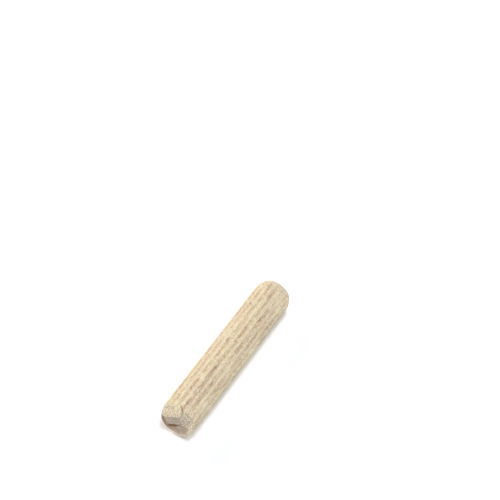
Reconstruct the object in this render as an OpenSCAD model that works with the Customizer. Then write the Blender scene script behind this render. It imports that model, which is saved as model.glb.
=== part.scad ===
// Fluted wooden dowel pin.
// One piece of hardwood: a round rod with straight flutes all the way round, and both ends narrowed by a
// crowned chamfer so that the pin starts easily in a drilled hole.
// Frame: +X along the pin and +Z up. The origin is under the middle of the pin, on the bench it lies on.
// The pin rests on two neighbouring ridges, with a flute straight below its axis.

/* [Shank] */
// Diameter over the ridges, which is the size of the drilled hole
pin_d = 8; // [5:0.5:16]
// Length from one end face to the other
pin_length = 40; // [20:1:100]

/* [Flutes] */
// Number of ridges, and of flutes between them, round the shank
ridge_count = 18; // [8:1:24]
// Depth of a flute's floor below the tops of the ridges
flute_depth = 0.35; // [0.15:0.05:0.6]
// Width of the floor that a flute has between two ridges
flute_floor_w = 0.3; // [0.04:0.02:0.4]

/* [Ends] */
// How far the chamfer reaches along the pin from an end face
chamfer_length = 2.2; // [1:0.1:4]
// How far the chamfer goes in from the ridge tops, measured at the end face
chamfer_depth = 0.7; // [0.3:0.1:1.5]
// Radius of the crown that bulges the chamfer, seen from the side
crown_r = 6; // [4:0.5:20]

/* [Hidden] */

// Raw pale beech
wood_color = [0.87, 0.77, 0.6];

// Segments of a small bead's circle, and of the large circles that shape the ends
$fn = 96;
end_fn = 256;

pin_r = pin_d / 2;
flute_floor_r = pin_r - flute_depth;
ridge_step = 360 / ridge_count;

// A ridge is a round bead. Its arc tops out at pin_r and comes down to the flute's floor at an angle of
// bead_edge_angle from the ridge's own middle, and those two conditions give its radius.
floor_angle = flute_floor_w / flute_floor_r * 180 / PI;
bead_edge_angle = (ridge_step - floor_angle) / 2;
bead_edge_x = flute_floor_r * cos(bead_edge_angle);
bead_r = (pow(flute_floor_r, 2) + pow(pin_r, 2) - 2 * pin_r * bead_edge_x) / (2 * (pin_r - bead_edge_x));
bead_centre_r = pin_r - bead_r;

// Height of the axis when the two lowest ridges touch the bench
rest_height = bead_centre_r * cos(ridge_step / 2) + bead_r;

// The chamfer's side outline is one arc of crown_r through the rim of the end face, at (0, end_face_r), and
// the place where the chamfer meets the ridge tops, at (chamfer_length, pin_r). This finds its centre.
end_face_r = pin_r - chamfer_depth;
chord = sqrt(pow(chamfer_length, 2) + pow(chamfer_depth, 2));
centre_drop = sqrt(pow(crown_r, 2) - pow(chord / 2, 2));
crown_x = chamfer_length / 2 + centre_drop * chamfer_depth / chord;
crown_y = end_face_r + chamfer_depth / 2 - centre_drop * chamfer_length / chord;

// The arc's highest point clears the ridges, and the envelope keeps that radius from one end to the other
envelope_r = crown_y + crown_r;

// Spare length of the fluted stock past each end, which the ends then cut away
stock_spare = 1;

// Cross-section of the fluted rod, with a ridge at every half step on either side of straight down
module fluted_section() {
    circle(r = flute_floor_r);
    for (i = [0 : ridge_count - 1])
        rotate(-90 + (i + 0.5) * ridge_step)
            translate([bead_centre_r, 0])
                circle(r = bead_r);
}

// Side outline of the whole pin above its axis: x is the distance from the first end face
module side_outline() {
    intersection() {
        square([pin_length, envelope_r]);
        union() {
            for (x = [crown_x, pin_length - crown_x])
                translate([x, crown_y])
                    circle(r = crown_r, $fn = end_fn);
            translate([crown_x, 0])
                square([pin_length - 2 * crown_x, envelope_r]);
        }
    }
}

// Solid of revolution that holds the crowned ends, standing on its first end face
module envelope() {
    rotate_extrude($fn = end_fn)
        rotate(90)
            mirror([0, 1])
                side_outline();
}

// Fluted stock, standing up and longer than the pin at both ends, with a flute towards +X,
// which becomes straight down once the pin is laid on its side
module fluted_stock() {
    translate([0, 0, -stock_spare])
        rotate(90)
            linear_extrude(pin_length + 2 * stock_spare)
                fluted_section();
}

// The whole pin: the fluted stock cut to the envelope, laid on its side
module dowel_pin() {
    color(wood_color)
        translate([0, 0, rest_height])
            rotate([0, 90, 0])
                translate([0, 0, -pin_length / 2])
                    intersection() {
                        fluted_stock();
                        envelope();
                    }
}

dowel_pin();
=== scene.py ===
"""Looks of one fluted dowel pin of raw pale beech, lying on two of its ridges on a white bench.

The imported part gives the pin's length, diameter and height. The visible pin is one dense mesh: it has the
part's own ridges, flutes, crowned chamfers and end faces, and adds what tools and handling leave in wood.
Those are strands of grain, torn spots, lifted fibres, uneven flutes, rough turned chamfers, sawn ends and
the wear of the -X end.
Sizes are in millimetres until the mesh is made. A place round the pin is in turns, from straight down and
towards +Y, so that 0.5 is straight up.
"""

import math

import bpy
import numpy as np
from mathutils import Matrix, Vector


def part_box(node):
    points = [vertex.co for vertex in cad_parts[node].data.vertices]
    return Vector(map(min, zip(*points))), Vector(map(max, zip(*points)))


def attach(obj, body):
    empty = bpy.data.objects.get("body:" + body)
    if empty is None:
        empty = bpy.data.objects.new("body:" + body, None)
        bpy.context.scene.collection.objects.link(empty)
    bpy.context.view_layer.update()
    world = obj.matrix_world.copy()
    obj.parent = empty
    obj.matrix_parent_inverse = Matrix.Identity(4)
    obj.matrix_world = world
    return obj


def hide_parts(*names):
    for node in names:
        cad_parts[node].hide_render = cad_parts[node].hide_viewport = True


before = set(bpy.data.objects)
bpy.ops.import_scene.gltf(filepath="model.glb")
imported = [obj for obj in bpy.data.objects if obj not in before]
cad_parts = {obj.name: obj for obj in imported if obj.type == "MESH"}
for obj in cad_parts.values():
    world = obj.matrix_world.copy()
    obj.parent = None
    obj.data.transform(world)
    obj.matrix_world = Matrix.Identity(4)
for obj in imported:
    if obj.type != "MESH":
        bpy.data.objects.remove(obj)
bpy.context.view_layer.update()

MM = 0.001
TAU = 2 * math.pi

# ---- The pin's sizes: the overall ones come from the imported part, the others are the part's own ----
LOW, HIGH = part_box("dowel_pin")
LENGTH = (HIGH.x - LOW.x) / MM
PIN_R = (HIGH.y - LOW.y) / 2 / MM
AXIS_Z = (HIGH.z - LOW.z) / 2 / MM
RIDGES = 18
FLUTE_DEPTH = 0.35
FLUTE_FLOOR_W = 0.3
CHAMFER_LENGTH = 2.2
CHAMFER_DEPTH = 0.7
CROWN_R = 6.0

# ---- The mesh's spacing ----
COLUMNS_A_RIDGE = 20
COLUMNS = RIDGES * COLUMNS_A_RIDGE
END_ZONE = 2.7  # stretch at each end that has the closer rows
END_ROW = 0.13
BODY_ROW = 0.18
FACE_RINGS = 14  # rings of faces from an end face's rim to its middle
RING_CROWDING = 1.25  # above 1, the rings are closer together near the rim

# ---- The map of the surface: the side is one strip, with one end face above the other beside it ----
MAP_MARGIN = 0.01
MAP_SPAN = 0.98
SIDE_STRIP = 0.62  # share of the map's width that the side takes
FACE_ACROSS = 0.82  # where the end faces' middles are across the map
FACE_APART = 0.25  # how far above and below its middle they are

# ---- Flutes and grain of the side ----
FLUTE_SHIFT = 3 / 360  # how far round, in turns, the topmost flutes are from where even spacing puts them
WANDER = 0.008  # how far the flutes wander in all, in turns
LEAST_DEPTH = 0.52  # share of the part's flute depth that each flute has at least
DEPTH_VARIES = 0.24  # most that is added to that share along a flute
DEPTH_RIPPLES = 0.08  # the same, over short stretches
RIDGE_DROP = 0.03  # most that a ridge is low
GRAIN_HEIGHT = 0.04
TORN_DEPTH = 0.08
LIFTED_HEIGHT = 0.07
CHAMFER_ROUGHNESS = 0.05

# ---- Layers of chance on the side: the seed of each, and the length and width of its strands ----
FLUTE_WANDER = (11, 9, 1.6)
FLUTE_DEPTHS = (12, 9, 1.4)
FLUTE_RIPPLES = (13, 1.4, 0.5)
RIDGE_HEIGHTS = (14, 6, 1.4)
GRAINS = ((15, 3.0, 0.26), (16, 0.8, 0.17), (21, 0.42, 0.21))
CHAMFER_LUMPS = (20, 0.4, 0.4)

# ---- Layers of flecks on the side: the same, and the values at which a fleck starts and is whole ----
TORN_FLECKS = (17, 0.45, 0.22, 0.68, 0.86)
PATCH_FLECKS = (22, 0.3, 0.22, 0.58, 0.78)
LIFTED_FLECKS = (18, 1.0, 0.18, 0.72, 0.86)
PITTED_FLECKS = (19, 0.3, 0.27, 0.64, 0.8)

# ---- Sawn end faces ----
SAWN_R = 3.1  # they are flat and sawn out to this radius at most
FACE_INSET = 0.02
SAW_MARK_SPACING = 0.6
SAW_MARK_DEPTH = 0.014
TEAR_SIZE = 0.5
TEAR_DEPTH = 0.06
FACE_SEED = 30  # this and EDGE_SEED are 1 less for the -X face and 1 more for the other
EDGE_SEED = 40
EDGE_PATCH = 0.6
EDGE_RAGGED = 0.3
PATCH_GRID = 64  # patches of chance across an end face, far more than it needs

# ---- Wear at the -X end: a flat slants across its top, a corner is broken out, and its rim is uneven ----
FLAT_TURN = 0.428  # the way that the flat faces, round the pin
FLAT_DISTANCE = 2.0  # from the axis, at the end face
FLAT_SLOPE = 1.0  # how fast it rises along the pin
LEAST_FACING = 0.3  # cosine below which the flat is clear of the pin
BROKEN_TURN = 0.644  # where the broken corner is, round the pin
BROKEN_WIDTH = 0.21  # in turns
BROKEN_STEEPNESS = 2.2  # how abruptly it starts at its sides
BROKEN_DEPTH = 1.75
BROKEN_REACH = 1.7  # how far along the pin it goes
RIM_WAVES = (  # high and low places of the rim: turn, half width in turns, and height
    (0.01, 0.05, -0.25),
    (0.89, 0.15, 0.47),
)
RIM_REACH = 2.2
RIM_ROUNDING = 0.16  # how much the rims of both end faces are worn round
GASH = (-18.6, 0.538, 1.2, 0.36)  # torn beside the broken corner: place, turn, length and width
GASH_DEPTH = 0.26
GASH_LEAN = 0.045  # how far round, in turns, the gash runs for each millimetre towards the end face
GASH_FADE = 1.4  # it fades from 0.2 to 0.7 of its length or width away from its middle

# ---- Brown marks on the side: place along the pin, turn, length, width and strength ----
MARKS = (
    (-9.8, 0.602, 1.2, 0.46, 1.0),
    (-6.3, 0.545, 1.1, 0.40, 0.9),
    (9.2, 0.598, 1.4, 0.56, 1.0),
    (10.9, 0.616, 1.4, 0.36, 0.7),
    (-13.9, 0.602, 0.9, 0.36, 0.6),
    (-16.8, 0.543, 1.2, 0.44, 0.7),
    (-13.8, 0.539, 0.9, 0.36, 0.5),
    (-13.4, 0.485, 1.0, 0.30, 0.5),
    (-10.8, 0.489, 1.2, 0.34, 0.6),
    (-10.8, 0.420, 1.1, 0.40, 0.5),
    (-9.8, 0.676, 1.4, 0.60, 0.8),
    (-2.7, 0.489, 1.4, 0.26, 0.5),
    (1.0, 0.479, 1.4, 0.40, 0.8),
    (-2.3, 0.592, 0.9, 0.32, 0.5),
    (-8.2, 0.598, 0.8, 0.30, 0.5),
    (5.8, 0.543, 0.8, 0.34, 0.5),
    (9.3, 0.692, 1.2, 0.50, 0.6),
)

# ---- Patches of the side that are torn all over: place, turn, length and width ----
ROUGH_PATCHES = (
    (0.0, 0.618, 4.2, 1.1),
    (-5.2, 0.53, 3.0, 1.6),
    (9.6, 0.62, 5.0, 1.0),
    (-16.4, 0.43, 2.4, 1.6),
)

# ---- The wood ----
RING_TILT = math.radians(33)  # how far the growth rings lean from level, about the pin's axis
GRAIN_SLOPE = math.radians(1.5)  # how far the grain runs off the pin's axis
STREAK = 0.0  # height of the growth ring that the -X end's brown streak follows, above the middle one
THIN_STREAK = 0.95  # the same for a fainter line above it
BLOTCH_SHIFT = 18.0  # of 14 shifts of the blotches tried, the one that came nearest to the photograph

# ---- Colours of the side ----
RING_CREAM = (0.835, 0.695, 0.485)
RING_TAN = (0.73, 0.58, 0.385)
PINK = (0.84, 0.56, 0.41)
YELLOW = (0.84, 0.765, 0.37)
BLOTCH_PALE = (0.88, 0.76, 0.515)
BLOTCH_BROWN = (0.66, 0.50, 0.355)
BROAD_STRAND = (0.63, 0.47, 0.295)
FINE_DARK = (0.59, 0.43, 0.26)
FINE_PALE = (0.98, 0.89, 0.70)
SPECK_DARK = (0.43, 0.27, 0.145)
SPECK_PALE = (1.0, 0.92, 0.73)
RAY_FLECK = (0.50, 0.30, 0.19)
# painted shade in the flutes, darker and warmer
FLUTE_PAINTED_SHADE = (0.80, 0.63, 0.47)  # multiplied on
# painted highlight on the tops of the ridges
RIDGE_PAINTED_HIGHLIGHT = (0.95, 0.85, 0.65)
TORN_WOOD = (0.52, 0.37, 0.235)
LIFTED_FIBRE = (0.98, 0.90, 0.73)
TURNED_WOOD = (0.94, 0.80, 0.58)
# grey brown of the broken corner, partly painted shade
BROKEN_WOOD_AND_SHADE = (0.44, 0.35, 0.28)
PIT_DARK = (0.31, 0.17, 0.09)
PIT_PALE = (1.0, 0.93, 0.75)
BROWN_MARK = (0.43, 0.22, 0.125)

# ---- Colours of the sawn end faces ----
END_PALE = (0.65, 0.575, 0.475)
END_TAN = (0.565, 0.48, 0.38)
LAYER_DARK = (0.40, 0.31, 0.23)
LAYER_PALE = (0.72, 0.65, 0.56)
END_BROWN = (0.46, 0.32, 0.22)
PORE_DARK = (0.34, 0.26, 0.185)
PORE_PALE = (0.74, 0.67, 0.57)
BELOW_STREAK = (0.96, 0.885, 0.83)  # multiplied on
MOTTLE_DARK = (0.42, 0.29, 0.185)
MOTTLE_PALE = (0.64, 0.53, 0.42)
THIN_BROWN = (0.33, 0.25, 0.18)
LOWEST_WOOD = (0.46, 0.28, 0.16)
STREAK_BROWN = (0.20, 0.09, 0.03)
# brown of the -X end's rim edge, partly painted shade
RIM_BROWN_AND_SHADE = (0.31, 0.16, 0.06)

MASKS = ("flute", "chamfer", "torn", "lifted", "broken", "mark", "end_face")

# ---- The camera, as the photograph was taken ----
CAMERA_AZIMUTH = math.radians(-59.4)
CAMERA_ELEVATION = math.radians(47.9)
LENS = 129.6
SENSOR = 36.0
PICTURE = 500  # pixels a side
NEAR_FACE_PIXEL = (175.05, 423.45)  # where the middle of the -X end face is in the picture
NEAR_FACE_DISTANCE = 357.0  # from the camera, along its own axis
CLIP_START, CLIP_END = 0.01, 20

# ---- The bench, in metres ----
BENCH_HALF = 1.5
PAPER_LIT = (0.94, 0.94, 0.95)
PAPER_SEEN = (0.985, 0.985, 1.0)
GLOW = (1.0, 0.985, 0.96)
GLOW_NEAR = 0.17  # its strength within GLOW_STARTS of the origin; it is 1 from GLOW_ENDS on
GLOW_STARTS = 0.05
GLOW_ENDS = 0.3

# ---- The lights ----
SURROUND_LIT = (0.96, 0.98, 1.0)
SURROUND_SEEN = (1.0, 1.0, 1.0)
SURROUND_LEVEL = 0.15
SOFTBOX_DISTANCE = 0.6  # in metres, as the softboxes' sizes are
SOFTBOXES = (  # name, direction from the pin, level, colour and size
    ("key", (-0.02, -0.15, 0.985), 0.44, (1.0, 1.0, 1.0), 0.15),
    ("left_fill", (0.3, 0.85, 0.4), 0.53, (1.0, 0.965, 0.89), 0.25),
    ("right_fill", (-0.15, -0.45, 0.88), 0.2, (0.95, 0.98, 1.0), 0.4),
    ("low_right_fill", (-0.2, -0.95, 0.26), 0.19, (0.72, 0.88, 1.0), 0.4),
    ("end_fill", (-0.96, 0.0, 0.28), 0.15, (0.98, 0.99, 1.0), 0.3),
)


def ease(t):
    """A smooth step from 0 to 1, flat at both ends."""
    t = np.clip(t, 0, 1)
    return t * t * (3 - 2 * t)


def between(value, start, end):
    """0 at start, 1 at end, the same beyond them, and a smooth step from one to the other."""
    return ease((value - start) / (end - start))


def turns_apart(turn, other):
    """How far a place round the pin is past another, the shorter way round."""
    return (turn - other + 0.5) % 1 - 0.5


def strands(along, turn, seed, length, width):
    """Smooth random values from 0 to 1 over the surface, in strands about length long and width wide."""
    rng = np.random.default_rng(seed)
    count = max(3, round(TAU * PIN_R / width))
    grid = rng.random((int(LENGTH / length) + 5, count))
    start = rng.random(count)
    across = turn * count
    left = np.floor(across).astype(int)

    def strand(k):
        k = k % count
        place = (along + LENGTH / 2) / length + 1 + start[k]
        cell = np.floor(place).astype(int)
        step = ease(place - cell)
        return grid[cell, k] * (1 - step) + grid[cell + 1, k] * step

    step = ease(across - left)
    return strand(left) * (1 - step) + strand(left + 1) * step


def flecks(along, turn, seed, length, width, start, end):
    """1 in flecks here and there over the surface and 0 between them, where strands pass start and end."""
    return between(strands(along, turn, seed, length, width), start, end)


def patches(seed, down, across, size):
    """Smooth random values from 0 to 1 over a flat face, in patches of about one size."""
    grid = np.random.default_rng(seed).random((PATCH_GRID, PATCH_GRID))
    down, across = down / size + PATCH_GRID / 2, across / size + PATCH_GRID / 2
    i, j = np.floor(down).astype(int), np.floor(across).astype(int)
    s, t = ease(down - i), ease(across - j)
    near = grid[i, j] * (1 - s) + grid[i + 1, j] * s
    far = grid[i, j + 1] * (1 - s) + grid[i + 1, j + 1] * s
    return near * (1 - t) + far * t


# ---- The part's section and side outline ----
def section_radius(from_ridge):
    """Radius of the part's section at an angle, in radians, from the middle of the nearest ridge."""
    floor_r = PIN_R - FLUTE_DEPTH
    edge = math.pi / RIDGES - FLUTE_FLOOR_W / floor_r / 2
    edge_x = floor_r * math.cos(edge)
    bead_r = (floor_r**2 + PIN_R**2 - 2 * PIN_R * edge_x) / (2 * (PIN_R - edge_x))
    centre = PIN_R - bead_r
    reach = np.sqrt(np.maximum(bead_r**2 - (centre * np.sin(from_ridge)) ** 2, 0))
    bead = centre * np.cos(from_ridge) + reach
    return np.where(np.abs(from_ridge) < edge, bead, floor_r)


def outline_radius(inward):
    """Radius that the crowned chamfer leaves at a distance inward from its end face."""
    chord = math.hypot(CHAMFER_LENGTH, CHAMFER_DEPTH)
    drop = math.sqrt(CROWN_R**2 - (chord / 2) ** 2)
    crown_x = CHAMFER_LENGTH / 2 + drop * CHAMFER_DEPTH / chord
    crown_y = PIN_R - CHAMFER_DEPTH / 2 - drop * CHAMFER_LENGTH / chord
    return crown_y + np.sqrt(CROWN_R**2 - (np.minimum(inward, crown_x) - crown_x) ** 2)


# ---- The pin's surface ----
def row_places():
    """Places of the mesh's rows along the pin, closer together at its ends."""
    end_rows = round(END_ZONE / END_ROW)
    body_rows = round((LENGTH - 2 * END_ZONE) / BODY_ROW)
    near = np.linspace(-LENGTH / 2, -LENGTH / 2 + END_ZONE, end_rows, endpoint=False)
    body = np.linspace(-LENGTH / 2 + END_ZONE, LENGTH / 2 - END_ZONE, body_rows, endpoint=False)
    far = np.linspace(LENGTH / 2 - END_ZONE, LENGTH / 2, end_rows + 1)
    return np.concatenate([near, body, far])


def chamfer_radius(along, turn):
    """Radius of the turned ends: the part's chamfer, with the -X end's wear. Also how broken that end is."""
    inward = LENGTH / 2 - np.abs(along)
    radius = outline_radius(inward)
    facing = np.cos(TAU * (turn - FLAT_TURN))
    flat = (FLAT_DISTANCE + FLAT_SLOPE * inward) / np.maximum(facing, LEAST_FACING)
    off = np.abs(turns_apart(turn, BROKEN_TURN)) / (BROKEN_WIDTH / 2)
    broken = ease(BROKEN_STEEPNESS * (1 - off)) * np.clip(1 - inward / BROKEN_REACH, 0, 1)
    worn = np.minimum(flat, radius - BROKEN_DEPTH * broken)
    for wave_turn, half_width, height in RIM_WAVES:
        wave = ease(1 - np.abs(turns_apart(turn, wave_turn)) / half_width)
        worn = worn + height * wave * np.clip(1 - inward / RIM_REACH, 0, 1)
    rounding = RIM_ROUNDING * np.clip(1 - inward / 2 / END_ROW, 0, 1) ** 2
    return np.where(along < 0, worn, radius) - rounding, np.where(along < 0, np.sqrt(broken), 0)


def spot(along, turn, place, spot_turn, length, width):
    """1 in the middle of an oval spot on the side, and 0 a little way outside it."""
    away = ((along - place) / length * 2) ** 2 + ((turn - spot_turn) * TAU * PIN_R / width * 2) ** 2
    return between(away, 1.6, 0.2)


def gash_strength(along, turn):
    """How deep the gash beside the broken corner is at points of the side, from 0 to 1."""
    place, gash_turn, length, width = GASH
    off = turns_apart(turn, gash_turn - GASH_LEAN * (along - place)) * TAU * PIN_R
    return ease(GASH_FADE - np.abs(off) / width * 2) * ease(GASH_FADE - np.abs(along - place) / length * 2)


def fluted_depth(along, turn):
    """How deep the flutes lie under the pin's full radius, and how far down a flute each point is."""
    shift = FLUTE_SHIFT * (1 - np.cos(TAU * turn)) / 2
    wander = WANDER * (strands(along, turn, *FLUTE_WANDER) - 0.5)
    ridge_place = (turn + shift + wander) * RIDGES
    from_ridge = (ridge_place - np.floor(ridge_place) - 0.5) * TAU / RIDGES
    depth = PIN_R - section_radius(from_ridge)
    flute = np.clip(depth / FLUTE_DEPTH, 0, 1)
    share = LEAST_DEPTH + DEPTH_VARIES * strands(along, turn, *FLUTE_DEPTHS)
    share = share + DEPTH_RIPPLES * strands(along, turn, *FLUTE_RIPPLES)
    return depth * share + RIDGE_DROP * (1 - flute) * strands(along, turn, *RIDGE_HEIGHTS), flute


def side_surface(along, turn):
    """Radius of the side, and its masks from flute to broken, in the order of MASKS."""
    depth, flute = fluted_depth(along, turn)
    flank = between(flute, 0.08, 0.4)
    # Strands of grain, from coarse ones to a fine fuzz
    grain = sum(GRAIN_HEIGHT * (strands(along, turn, *layer) - 0.5) for layer in GRAINS)
    # Torn spots, most of them on the ridges' flanks, and fibres that stand up
    torn = flecks(along, turn, *TORN_FLECKS) * (0.35 + 0.65 * flank)
    cuts = flecks(along, turn, *PATCH_FLECKS)
    for patch in ROUGH_PATCHES:
        torn = np.maximum(torn, cuts * spot(along, turn, *patch))
    lifted = flecks(along, turn, *LIFTED_FLECKS) * (0.3 + 0.7 * flank)
    radius = PIN_R - depth - grain - TORN_DEPTH * torn + LIFTED_HEIGHT * lifted
    # The turned ends are rough and pitted across the grain
    inward = LENGTH / 2 - np.abs(along)
    pitted = flecks(along, turn, *PITTED_FLECKS)
    turned, broken = chamfer_radius(along, turn)
    turned = turned - CHAMFER_ROUGHNESS * (strands(along, turn, *CHAMFER_LUMPS) + pitted)
    chamfer = between(radius - turned, -0.05, 0.08)
    radius = np.minimum(np.minimum(radius, turned), PIN_R) - GASH_DEPTH * gash_strength(along, turn)
    near_end = between(inward, 3.2, 1.8)
    torn = torn * (1 - near_end) + pitted * near_end
    return radius, flute * (1 - chamfer), chamfer, torn, lifted * (1 - chamfer), broken


def mark_strength(along, turn):
    """How strongly the brown marks and the gash show at points of the side."""
    strength = 2 * gash_strength(along, turn)
    for *where, most in MARKS:
        strength = np.maximum(strength, most * spot(along, turn, *where))
    return strength


def face_relief(seed, y, z):
    """How far an end face lies in from flat, at points of it: saw marks across it and torn end grain."""
    across = y * math.sin(RING_TILT) + z * math.cos(RING_TILT)
    bend = 1.3 * np.sin(across * 1.1 + seed)
    marks = 0.5 + 0.5 * np.sin(across * TAU / SAW_MARK_SPACING + bend)
    return FACE_INSET + SAW_MARK_DEPTH * marks + TEAR_DEPTH * between(patches(seed, y, z, TEAR_SIZE), 0.55, 1)


# ---- The pin's mesh: rows of points along the side, then rings of points on each end face ----
CORNERS = ((0, 0), (0, 1), (1, 1), (1, 0))  # a face's corners, as steps in row and column


def first_corners(count):
    """Row and column of each face's first corner, for a count of rows of faces."""
    row, column = np.meshgrid(np.arange(count), np.arange(COLUMNS), indexing="ij")
    return row.ravel(), column.ravel()


def side_faces(rows):
    """The side's faces, as numbers of points, and their corners' places on the map."""
    row, column = first_corners(len(rows) - 1)
    faces = [(row + r) * COLUMNS + (column + c) % COLUMNS for r, c in CORNERS]
    u = [MAP_MARGIN + SIDE_STRIP * (column + c) / COLUMNS for r, c in CORNERS]
    v = [MAP_MARGIN + MAP_SPAN * (rows[row + r] / LENGTH + 0.5) for r, c in CORNERS]
    return np.stack(faces, axis=-1), np.stack([np.stack(u, axis=-1), np.stack(v, axis=-1)], axis=-1)


def end_points(end, rim):
    """Points of an end face inside its rim, in rings and with its middle last, and their masks."""
    shares = 1 - (np.arange(1, FACE_RINGS) / FACE_RINGS) ** RING_CROWDING
    rings = shares[:, None, None] * rim[None, :, 1:]
    y, z = rings[..., 0], rings[..., 1]
    from_rim = np.hypot(rim[:, 1], rim[:, 2])[None, :] * (1 - shares[:, None])
    relief = face_relief(FACE_SEED + end, y, z) * between(from_rim, 0, 0.4)
    face = np.concatenate([end * (LENGTH / 2 - relief)[..., None], rings], axis=-1)
    middle = np.array([[end * (LENGTH / 2 - face_relief(FACE_SEED + end, 0.0, 0.0)), 0, 0]])
    ragged = EDGE_RAGGED * patches(EDGE_SEED + end, y, z, EDGE_PATCH)
    inside = np.minimum(from_rim, SAWN_R - np.hypot(y, z))
    sawn = np.append(between(inside - ragged, -0.12, 0.06), 1)
    masks = np.zeros((sawn.size, len(MASKS)))
    masks[:, MASKS.index("end_face")] = sawn
    masks[:, MASKS.index("chamfer")] = 1 - sawn
    return np.concatenate([face.reshape(-1, 3), middle]), masks


def end_faces(end, rim, rim_start, points, start):
    """An end face's quads and the triangles round its middle, each with its corners' places on the map.

    The rim's points are numbered from rim_start, and the end face's own points from start.
    """
    ring_starts = np.concatenate([[rim_start], start + np.arange(FACE_RINGS - 1) * COLUMNS])
    rings = np.concatenate([rim[None, :, 1:], points[:-1, 1:].reshape(FACE_RINGS - 1, COLUMNS, 2)])
    centre = np.array([FACE_ACROSS, 0.5 + FACE_APART * end])
    scale = MAP_SPAN / LENGTH
    ring, column = first_corners(FACE_RINGS - 1)
    outward = CORNERS if end > 0 else CORNERS[::-1]
    quads = [ring_starts[ring + r] + (column + c) % COLUMNS for r, c in outward]
    quad_places = [rings[ring + r, (column + c) % COLUMNS] for r, c in outward]
    column = np.arange(COLUMNS)
    following = (column + 1) % COLUMNS
    fan = [ring_starts[-1] + column, ring_starts[-1] + following, np.full(COLUMNS, start + len(points) - 1)]
    fan_places = [rings[-1, column], rings[-1, following], np.zeros((COLUMNS, 2))]
    if end < 0:
        fan, fan_places = fan[::-1], fan_places[::-1]
    return (
        (np.stack(quads, axis=-1), centre + scale * np.stack(quad_places, axis=1)),
        (np.stack(fan, axis=-1), centre + scale * np.stack(fan_places, axis=1)),
    )


def build_pin():
    """The visible pin, as one closed mesh with a map of its surface and masks for its material."""
    rows = row_places()
    along, turn = np.meshgrid(rows, np.arange(COLUMNS) / COLUMNS, indexing="ij")
    radius, *side_masks = side_surface(along, turn)
    side_masks += [mark_strength(along, turn), np.zeros_like(radius)]
    side = np.stack([along, radius * np.sin(TAU * turn), -radius * np.cos(TAU * turn)], axis=-1)
    points = [side.reshape(-1, 3)]
    masks = [np.stack(side_masks, axis=-1).reshape(-1, len(MASKS))]
    quads, triangles = [side_faces(rows)], []
    start = len(points[0])
    for end, rim_row in ((-1, 0), (1, len(rows) - 1)):
        face_points, face_masks = end_points(end, side[rim_row])
        face_quads, fan = end_faces(end, side[rim_row], rim_row * COLUMNS, face_points, start)
        points.append(face_points)
        masks.append(face_masks)
        quads.append(face_quads)
        triangles.append(fan)
        start += len(face_points)

    points = np.concatenate(points)
    # What would pass the bench or the part's top is held there
    points[:, 2] = np.clip(points[:, 2] + AXIS_Z, 0, HIGH.z / MM)
    faces = [face for numbers, _ in quads + triangles for face in numbers.tolist()]
    places = np.concatenate([corners.reshape(-1, 2) for _, corners in quads + triangles])
    mesh = bpy.data.meshes.new("fluted_pin")
    mesh.from_pydata((points * MM).tolist(), [], faces)
    layer = mesh.uv_layers.new(name="OFBake")
    layer.data.foreach_set("uv", places.astype(np.float32).ravel())
    for name, values in zip(MASKS, np.concatenate(masks).T):
        mask = mesh.attributes.new(name, "FLOAT", "POINT")
        mask.data.foreach_set("value", values.astype(np.float32))
    mesh.polygons.foreach_set("use_smooth", np.ones(len(mesh.polygons), bool))
    mesh.validate()
    mesh.update()
    pin = bpy.data.objects.new("fluted_pin", mesh)
    bpy.context.scene.collection.objects.link(pin)
    return pin


# ---- Materials ----
class Graph:
    """A node tree, with one short call for each kind of node that is used in it."""

    def __init__(self, tree):
        self.tree = tree
        tree.nodes.clear()

    def add(self, kind, **settings):
        node = self.tree.nodes.new("ShaderNode" + kind)
        for name, value in settings.items():
            setattr(node, name, value)
        return node

    def put(self, socket, value):
        """Links value into a socket, or sets it there if it is a plain one."""
        if isinstance(value, bpy.types.NodeSocket):
            self.tree.links.new(value, socket)
        else:
            socket.default_value = value

    def math(self, operation, a, b=0.0):
        node = self.add("Math", operation=operation)
        self.put(node.inputs[0], a)
        self.put(node.inputs[1], b)
        return node.outputs[0]

    def product(self, first, *others):
        for other in others:
            first = self.math("MULTIPLY", first, other)
        return first

    def ramp(self, value, start, end, low=0.0, high=1.0):
        """A smooth step from low to high while value goes from start to end."""
        node = self.add("MapRange", interpolation_type="SMOOTHSTEP")
        for socket, given in zip(node.inputs, (value, start, end, low, high)):
            self.put(socket, given)
        return node.outputs[0]

    def mix(self, factor, a, b, blend="MIX"):
        node = self.add("Mix", data_type="RGBA", blend_type=blend)
        self.put(node.inputs[0], factor)
        self.put(node.inputs[6], (*a, 1) if isinstance(a, tuple) else a)
        self.put(node.inputs[7], (*b, 1) if isinstance(b, tuple) else b)
        return node.outputs[2]

    def tint(self, colour, other, value, start, end, most=1.0):
        """The colour, which turns to the other one, by up to most, while value goes from start to end."""
        return self.mix(self.ramp(value, start, end, 0, most), colour, other)

    def noise(self, vector, size, detail=2.0, roughness=0.5, shift=0.0):
        """Noise from 0 to 1 in cells of the given size, in millimetres, along each axis.

        Its pattern is moved along X by shift cells.
        """
        cells = self.add("Mapping")
        self.put(cells.inputs["Vector"], vector)
        cells.inputs["Location"].default_value = (shift, 0, 0)
        cells.inputs["Scale"].default_value = [1 / s for s in size]
        node = self.add("TexNoise")
        self.put(node.inputs["Vector"], cells.outputs[0])
        node.inputs["Scale"].default_value = 1
        node.inputs["Detail"].default_value = detail
        node.inputs["Roughness"].default_value = roughness
        return node.outputs[0]

    def parts(self, vector):
        """A vector's X, Y and Z."""
        node = self.add("SeparateXYZ")
        self.put(node.inputs[0], vector)
        return node.outputs

    def mask(self, name):
        return self.add("Attribute", attribute_name=name).outputs["Fac"]

    def finish(self, kind, shader):
        out = self.add("Output" + kind)
        self.put(out.inputs["Surface"], shader)


def new_material(name):
    material = bpy.data.materials.new(name)
    material.use_nodes = True
    return material, Graph(material.node_tree)


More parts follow.
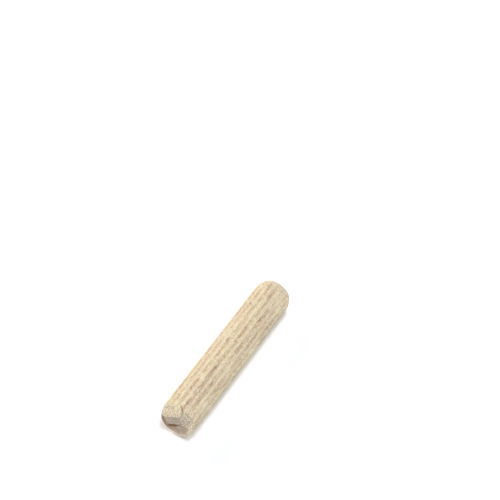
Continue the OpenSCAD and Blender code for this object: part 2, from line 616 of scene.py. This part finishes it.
def wood_frame(g):
    """Millimetres from the pin's middle: as it lies, and turned so that Z crosses the growth rings."""
    place = g.add("TexCoord").outputs["Object"]
    lying = g.add("Mapping", vector_type="POINT")
    g.put(lying.inputs["Vector"], place)
    lying.inputs["Location"].default_value = (0, 0, -AXIS_Z)
    lying.inputs["Scale"].default_value = (1 / MM, 1 / MM, 1 / MM)
    turned = g.add("Mapping", vector_type="POINT")
    g.put(turned.inputs["Vector"], lying.outputs[0])
    turned.inputs["Rotation"].default_value = (RING_TILT, GRAIN_SLOPE, 0)
    return lying.outputs[0], turned.outputs[0]


def end_grain(g, wood, rings):
    """Colour of the sawn end faces: grey tan in fine layers, with brown patches and pores."""
    colour = g.tint(END_PALE, END_TAN, rings, 0.36, 0.62)
    layers = g.noise(wood, (3, 2.2, 0.2))
    colour = g.tint(colour, LAYER_DARK, layers, 0.52, 0.66, 0.6)
    colour = g.tint(colour, LAYER_PALE, layers, 0.48, 0.34, 0.6)
    brown = g.noise(wood, (3, 0.9, 0.5))
    colour = g.tint(colour, END_BROWN, brown, 0.48, 0.66, 0.6)
    pores = g.noise(wood, (3, 0.14, 0.14), roughness=0.6)
    colour = g.tint(colour, PORE_DARK, pores, 0.54, 0.68, 0.5)
    return g.tint(colour, PORE_PALE, pores, 0.45, 0.3, 0.45)


def end_stains(g, lying, wood, colour):
    """The colour, with what the end faces show along and below one growth ring.

    Below that ring both end faces are redder and mottled. The -X end also has a brown streak along the ring,
    a fainter line above it, an orange brown lowest part and a brown edge on the +Y side of its rim that is
    partly painted shade.
    """
    axes = g.parts(lying)
    along_ring, across_rings = g.parts(wood)[1:3]
    at_end = g.ramp(axes["X"], 0.45 - LENGTH / 2, 0.25 - LENGTH / 2)
    ragged = g.noise(wood, (1, 0.5, 0.3))
    ring = g.ramp(ragged, 0.3, 0.7, STREAK - 0.1, STREAK + 0.1)
    above_streak = g.math("SUBTRACT", across_rings, ring)
    off_thin = g.math("ABSOLUTE", g.math("SUBTRACT", above_streak, THIN_STREAK - STREAK))
    thin_ends = g.product(g.ramp(along_ring, -1.8, -0.6), g.ramp(along_ring, 2.4, 1.4))
    thin = g.product(g.ramp(off_thin, 0.22, 0.05), thin_ends, at_end, 0.6)
    colour = g.mix(thin, colour, THIN_BROWN)
    # The wood below the streak is redder than that above it, and mottled across its layers
    below = g.product(g.ramp(above_streak, 0, -0.4), g.mask("end_face"))
    colour = g.mix(below, colour, BELOW_STREAK, "MULTIPLY")
    mottled = g.noise(wood, (3, 0.45, 1.2))
    colour = g.mix(g.product(below, g.ramp(mottled, 0.48, 0.6), 0.6), colour, MOTTLE_DARK)
    colour = g.mix(g.product(below, g.ramp(mottled, 0.46, 0.36), 0.6), colour, MOTTLE_PALE)
    low = g.product(g.ramp(above_streak, -2.15, -2.5), g.mask("end_face"), at_end, 0.7)
    colour = g.mix(low, colour, LOWEST_WOOD)
    # The streak is broader on its +Y side and fades out at both ends
    off_streak = g.product(g.math("ABSOLUTE", above_streak), g.ramp(along_ring, -0.6, 0.6, 1.0, 0.6))
    streak_ends = g.product(g.ramp(along_ring, -2.2, 0.2), g.ramp(along_ring, 2.9, 2.0))
    streak = g.product(g.ramp(off_streak, 0.38, 0.08), streak_ends, at_end, 0.95)
    colour = g.mix(streak, colour, STREAK_BROWN)
    # The rim's brown edge is on its +Y side, below the flat; its brown is partly painted shade of the chamfer
    # there
    outward = g.math("ADD", g.product(axes["Y"], 0.94), g.product(axes["Z"], -0.34))
    outward = g.math("ADD", outward, g.ramp(ragged, 0.3, 0.7, -0.12, 0.12))
    rim = g.product(g.ramp(outward, 2.2, 2.65), g.ramp(axes["Z"], 0.9, 0.3), at_end)
    fibres = g.noise(wood, (3, 0.9, 0.16), roughness=0.6)
    return g.mix(g.product(rim, g.ramp(fibres, 0.36, 0.64, 1.0, 0.68)), colour, RIM_BROWN_AND_SHADE)


def beech():
    """Raw beech: cream with tan growth rings, fine strands, brown ray flecks, and greyer end grain."""
    material, g = new_material("raw_beech")
    lying, wood = wood_frame(g)
    flute, chamfer, torn, lifted = g.mask("flute"), g.mask("chamfer"), g.mask("torn"), g.mask("lifted")
    # Growth rings are broad bands, and patches of the wood lean to pink or to yellow
    rings = g.noise(wood, (40, 9, 0.9), roughness=0.55)
    colour = g.tint(RING_CREAM, RING_TAN, rings, 0.35, 0.65)
    hue = g.noise(wood, (1.6, 0.6, 0.6), detail=3.0, roughness=0.7)
    colour = g.tint(colour, PINK, hue, 0.47, 0.64)
    colour = g.tint(colour, YELLOW, hue, 0.52, 0.35)
    blotches = g.noise(wood, (7, 1.3, 1.3), shift=BLOTCH_SHIFT)
    colour = g.tint(colour, BLOTCH_PALE, blotches, 0.5, 0.6, 0.9)
    colour = g.tint(colour, BLOTCH_BROWN, blotches, 0.5, 0.4, 0.9)
    # Strands of grain, broad and fine, and the specks of cut fibres
    broad = g.noise(wood, (5, 0.6, 0.6), roughness=0.6)
    colour = g.tint(colour, BROAD_STRAND, broad, 0.44, 0.66, 0.4)
    fine = g.noise(wood, (1.1, 0.16, 0.16), detail=3.0, roughness=0.7)
    colour = g.tint(colour, FINE_DARK, fine, 0.5, 0.72, 0.4)
    colour = g.tint(colour, FINE_PALE, fine, 0.5, 0.3, 0.5)
    specks = g.noise(wood, (0.32, 0.18, 0.18), roughness=0.6)
    colour = g.tint(colour, SPECK_DARK, specks, 0.5, 0.74)
    colour = g.tint(colour, SPECK_PALE, specks, 0.5, 0.28)
    # Ray flecks: short brown dashes where the rings face the surface, broad flakes on the sides
    rays = g.noise(wood, (0.85, 0.17, 3.5), detail=1.0, roughness=0.4)
    clusters = g.noise(wood, (5, 1.6, 3), detail=1.0)
    rays = g.product(g.ramp(rays, 0.60, 0.72), g.ramp(clusters, 0.42, 0.62, 0.1, 0.5))
    colour = g.mix(rays, colour, RAY_FLECK)
    # Painted shade makes a flute darker and warmer, more so in brown places, and a painted highlight makes
    # the top of a ridge pale
    brown = g.noise(wood, (5, 0.9, 0.9))
    shaded = g.product(g.ramp(flute, 0.05, 0.7), g.ramp(brown, 0.38, 0.64, 0.12, 0.34))
    colour = g.mix(shaded, colour, FLUTE_PAINTED_SHADE, "MULTIPLY")
    colour = g.tint(colour, RIDGE_PAINTED_HIGHLIGHT, flute, 0.3, 0.0, 0.3)
    colour = g.mix(g.product(torn, 0.35), colour, TORN_WOOD)
    colour = g.mix(g.product(lifted, 0.6), colour, LIFTED_FIBRE)
    # The turned ends are pale with dark and pale pits, and the broken corner is grey brown, partly painted
    # shade where it faces away from the light
    pits = g.noise(wood, (0.22, 0.22, 0.22), detail=3.0, roughness=0.6)
    colour = g.mix(g.product(chamfer, 0.5), colour, TURNED_WOOD)
    colour = g.mix(g.product(g.mask("broken"), 0.9), colour, BROKEN_WOOD_AND_SHADE)
    colour = g.mix(g.product(g.ramp(pits, 0.5, 0.68), chamfer), colour, PIT_DARK)
    colour = g.mix(g.product(g.ramp(pits, 0.5, 0.32), chamfer, 0.9), colour, PIT_PALE)
    # Brown marks, broken up by the fine strands
    ragged = g.ramp(fine, 0.66, 0.4, 0.5, 1.0)
    colour = g.mix(g.product(g.mask("mark"), ragged, 0.85), colour, BROWN_MARK)
    # Sawn end faces
    colour = g.mix(g.mask("end_face"), colour, end_grain(g, wood, rings))
    colour = end_stains(g, lying, wood, colour)

    shader = g.add("BsdfPrincipled")
    g.put(shader.inputs["Base Color"], colour)
    g.put(shader.inputs["Roughness"], g.ramp(fine, 0.3, 0.7, 0.65, 0.88))
    shader.inputs["Specular IOR Level"].default_value = 0.3
    bump = g.add("Bump")
    bump.inputs["Strength"].default_value = 0.8
    bump.inputs["Distance"].default_value = 0.06 * MM
    g.put(bump.inputs["Height"], g.math("SUBTRACT", 1.0, g.math("ADD", fine, specks)))
    g.put(shader.inputs["Normal"], bump.outputs[0])
    g.finish("Material", shader.outputs[0])
    return material


def shown_rays(g):
    """1 for rays that show the floor or surround as it is: from the camera, and through gloss and glass."""
    path = g.add("LightPath")
    shown = g.math("MAXIMUM", path.outputs["Is Camera Ray"], path.outputs["Is Glossy Ray"])
    return g.math("MAXIMUM", shown, path.outputs["Is Transmission Ray"])


def white_bench():
    """White paper that keeps the pin's soft shadow and is seen as pure white in the open and far away."""
    material, g = new_material("white_bench")
    shown = shown_rays(g)
    paper = g.add("BsdfDiffuse")
    g.put(paper.inputs["Color"], g.mix(shown, PAPER_LIT, PAPER_SEEN))
    away = g.add("VectorMath", operation="LENGTH")
    g.put(away.inputs[0], g.add("TexCoord").outputs["Object"])
    glow = g.add("Emission")
    glow.inputs["Color"].default_value = (*GLOW, 1)
    strength = g.ramp(away.outputs["Value"], GLOW_STARTS, GLOW_ENDS, GLOW_NEAR, 1.0)
    g.put(glow.inputs["Strength"], g.product(shown, strength))
    both = g.add("AddShader")
    g.put(both.inputs[0], paper.outputs[0])
    g.put(both.inputs[1], glow.outputs[0])
    g.finish("Material", both.outputs[0])
    return material


# ---- The studio ----
def build_floor():
    mesh = bpy.data.meshes.new("bench")
    corners = [(BENCH_HALF * x, BENCH_HALF * y, 0) for x, y in ((-1, -1), (1, -1), (1, 1), (-1, 1))]
    mesh.from_pydata(corners, [], [(0, 1, 2, 3)])
    floor = bpy.data.objects.new("bench", mesh)
    bpy.context.scene.collection.objects.link(floor)
    mesh.materials.append(white_bench())


def camera_axes():
    """The camera's right, up and backward directions."""
    a, e = CAMERA_AZIMUTH, CAMERA_ELEVATION
    right = np.array([math.cos(a), math.sin(a), 0])
    back = np.array([math.sin(a) * math.cos(e), -math.cos(a) * math.cos(e), math.sin(e)])
    return right, np.cross(back, right), back


def build_camera():
    """The camera, placed so that the near end face's middle is where the photograph has it."""
    right, up, back = camera_axes()
    focal = LENS / SENSOR * PICTURE
    middle = np.array([-LENGTH / 2, 0, AXIS_Z])
    aside = (NEAR_FACE_PIXEL[0] - PICTURE / 2) / focal * NEAR_FACE_DISTANCE
    above = (PICTURE / 2 - NEAR_FACE_PIXEL[1]) / focal * NEAR_FACE_DISTANCE
    place = middle + back * NEAR_FACE_DISTANCE - right * aside - up * above
    data = bpy.data.cameras.new("camera")
    data.lens = LENS
    data.sensor_width = SENSOR
    data.clip_start = CLIP_START
    data.clip_end = CLIP_END
    camera = bpy.data.objects.new("camera", data)
    camera.location = place * MM
    camera.rotation_euler = (math.pi / 2 - CAMERA_ELEVATION, 0, CAMERA_AZIMUTH)
    bpy.context.scene.collection.objects.link(camera)
    bpy.context.scene.camera = camera


def add_softbox(name, direction, level, colour, size):
    """A square area light aimed at the pin from a direction.

    Its level is the brightness that a white surface facing it would have, and 1 is full white.
    """
    way = Vector(direction).normalized()
    data = bpy.data.lights.new(name, "AREA")
    data.shape = "SQUARE"
    data.size = size
    data.color = colour
    data.energy = level * (math.pi * SOFTBOX_DISTANCE) ** 2
    light = bpy.data.objects.new(name, data)
    light.location = way * SOFTBOX_DISTANCE
    light.rotation_euler = way.to_track_quat("Z", "Y").to_euler()
    light.visible_camera = False
    bpy.context.scene.collection.objects.link(light)


def build_world():
    """A white surround, seen as pure white, that gives a soft and slightly cool fill."""
    world = bpy.data.worlds.new("surround")
    world.use_nodes = True
    g = Graph(world.node_tree)
    shown = shown_rays(g)
    background = g.add("Background")
    g.put(background.inputs["Color"], g.mix(shown, SURROUND_LIT, SURROUND_SEEN))
    g.put(background.inputs["Strength"], g.ramp(shown, 0, 1, SURROUND_LEVEL, 1.0))
    g.finish("World", background.outputs[0])
    bpy.context.scene.world = world


build_camera()
build_floor()
build_world()
for softbox in SOFTBOXES:
    add_softbox(*softbox)

pin = build_pin()
pin.data.materials.append(beech())
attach(pin, "root")
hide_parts("dowel_pin")

bpy.context.scene.view_settings.view_transform = "Standard"
